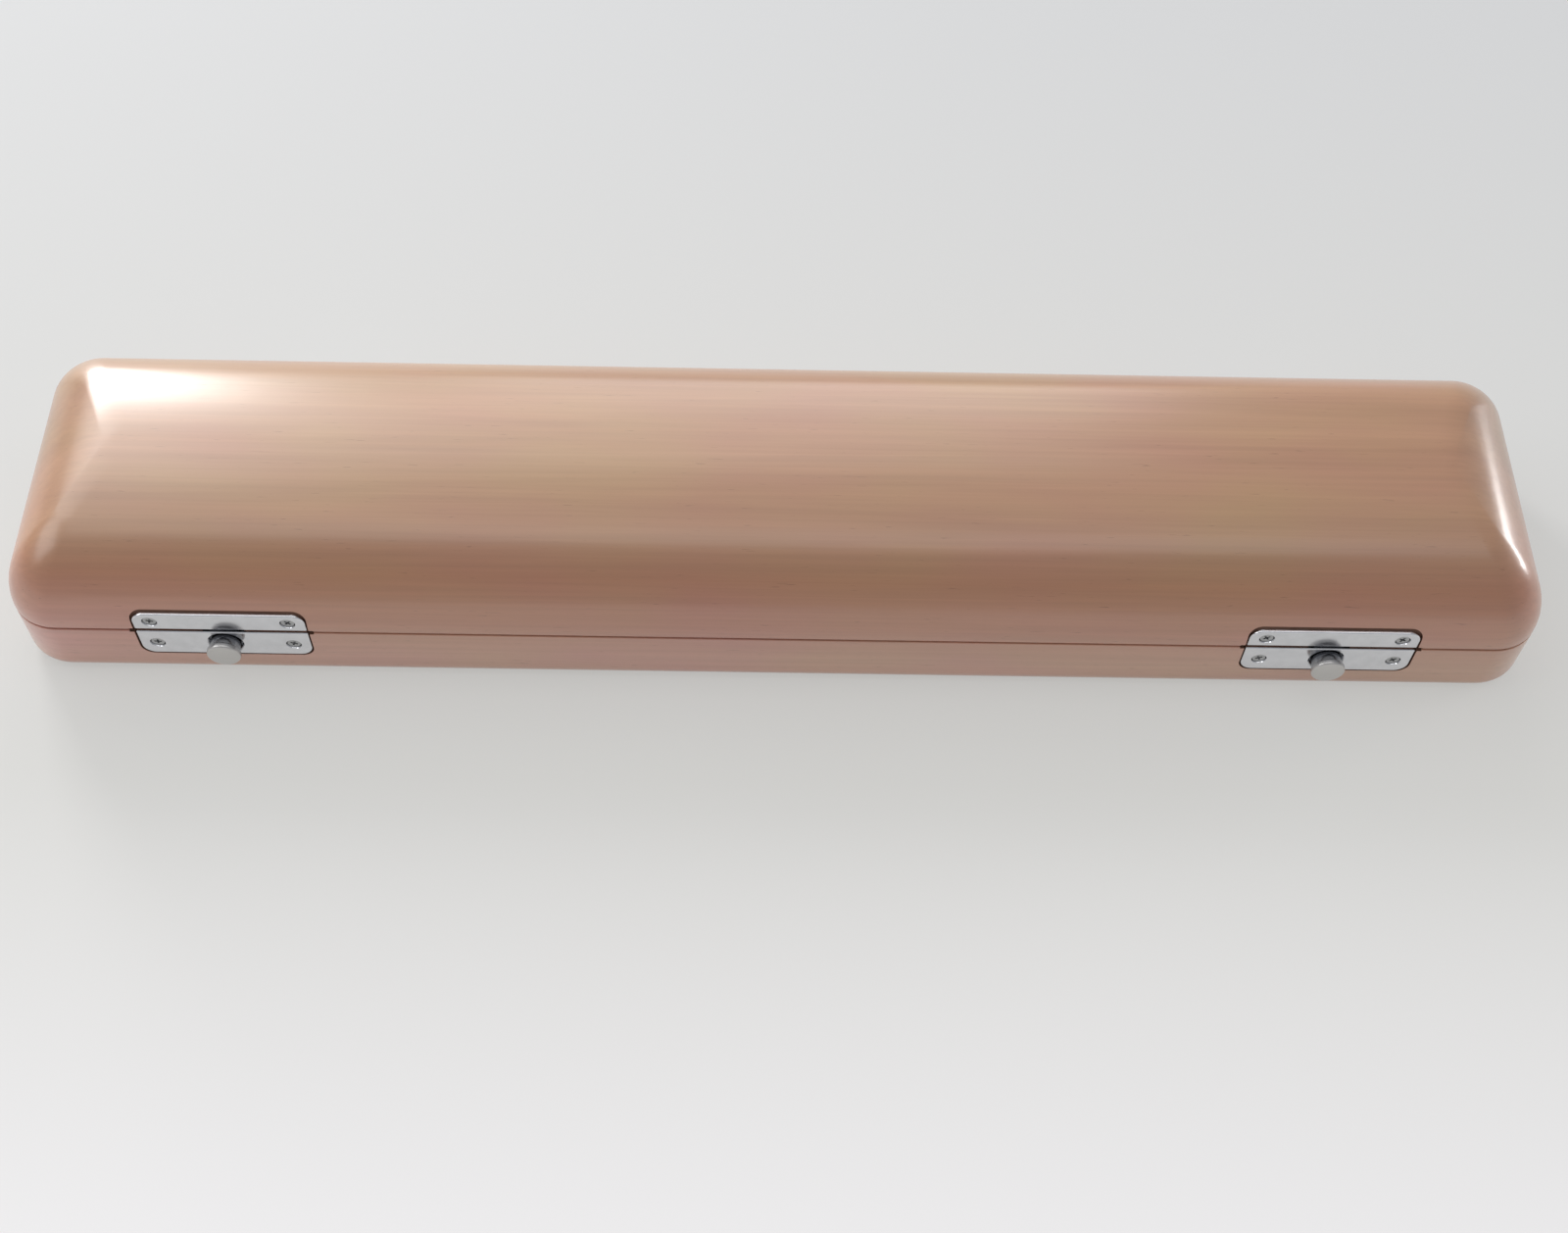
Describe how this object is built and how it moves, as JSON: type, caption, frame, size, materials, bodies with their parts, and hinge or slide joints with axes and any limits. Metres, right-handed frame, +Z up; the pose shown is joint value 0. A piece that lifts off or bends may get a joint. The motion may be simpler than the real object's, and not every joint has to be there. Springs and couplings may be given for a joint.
{
  "type": "flute case",
  "caption": "Wooden flute case with a pillow-shaped hinged lid, push-button latches on the front and a fitted velvet cradle for the three joints of a flute.",
  "frame": {"origin": "middle of the flat underside of the base", "axes": "+X along the case to the right seen from the front, +Y from the latches to the hinges, +Z up"},
  "size_m": [0.42, 0.0975, 0.0468],
  "materials": {
    "lacquered_wood": "fine-grained pale hardwood under satin-gloss lacquer",
    "velvet": "short-pile wine-red velvet over a moulded form",
    "nickel": "nickel plate over stamped steel, satin",
    "polished_nickel": "polished nickel plate over turned brass",
    "screw_steel": "plated steel, dull",
    "spring_steel": "blued spring steel"
  },
  "bodies": {
    "base": {"base_shell": "lacquered_wood", "base_cradle": "velvet", "left_latch_base_plate": "nickel", "left_latch_base_screws": "screw_steel", "left_latch_spring": "spring_steel", "left_latch_guide_posts": "nickel", "right_latch_base_plate": "nickel", "right_latch_base_screws": "screw_steel", "right_latch_spring": "spring_steel", "right_latch_guide_posts": "nickel", "left_hinge_base_leaf": "nickel", "left_hinge_pin": "polished_nickel", "left_hinge_base_screws": "screw_steel", "right_hinge_base_leaf": "nickel", "right_hinge_pin": "polished_nickel", "right_hinge_base_screws": "screw_steel"},
    "lid": {"lid_shell": "lacquered_wood", "lid_lining": "velvet", "left_latch_lid_plate": "nickel", "left_latch_lid_screws": "screw_steel", "right_latch_lid_plate": "nickel", "right_latch_lid_screws": "screw_steel", "left_hinge_lid_leaf": "nickel", "left_hinge_lid_screws": "screw_steel", "right_hinge_lid_leaf": "nickel", "right_hinge_lid_screws": "screw_steel"},
    "left_button": {"left_latch_button": "polished_nickel", "left_latch_bolt": "nickel"},
    "right_button": {"right_latch_button": "polished_nickel", "right_latch_bolt": "nickel"}
  },
  "joints": [
    {"name": "lid_hinge", "type": "hinge", "parent": "base", "child": "lid", "pos_m": [0, 0.0444, 0.02025], "axis": [-1, 0, 0], "range_deg": [0, 110]},
    {"name": "left_button_slide", "type": "slide", "parent": "base", "child": "left_button", "axis": [0, 1, 0], "range_m": [0, 0.002], "stiffness_N_per_m": 1500, "springref_m": -0.002, "deforming": ["left_latch_spring"]},
    {"name": "right_button_slide", "type": "slide", "parent": "base", "child": "right_button", "axis": [0, 1, 0], "range_m": [0, 0.002], "stiffness_N_per_m": 1500, "springref_m": -0.002, "deforming": ["right_latch_spring"]}
  ]
}
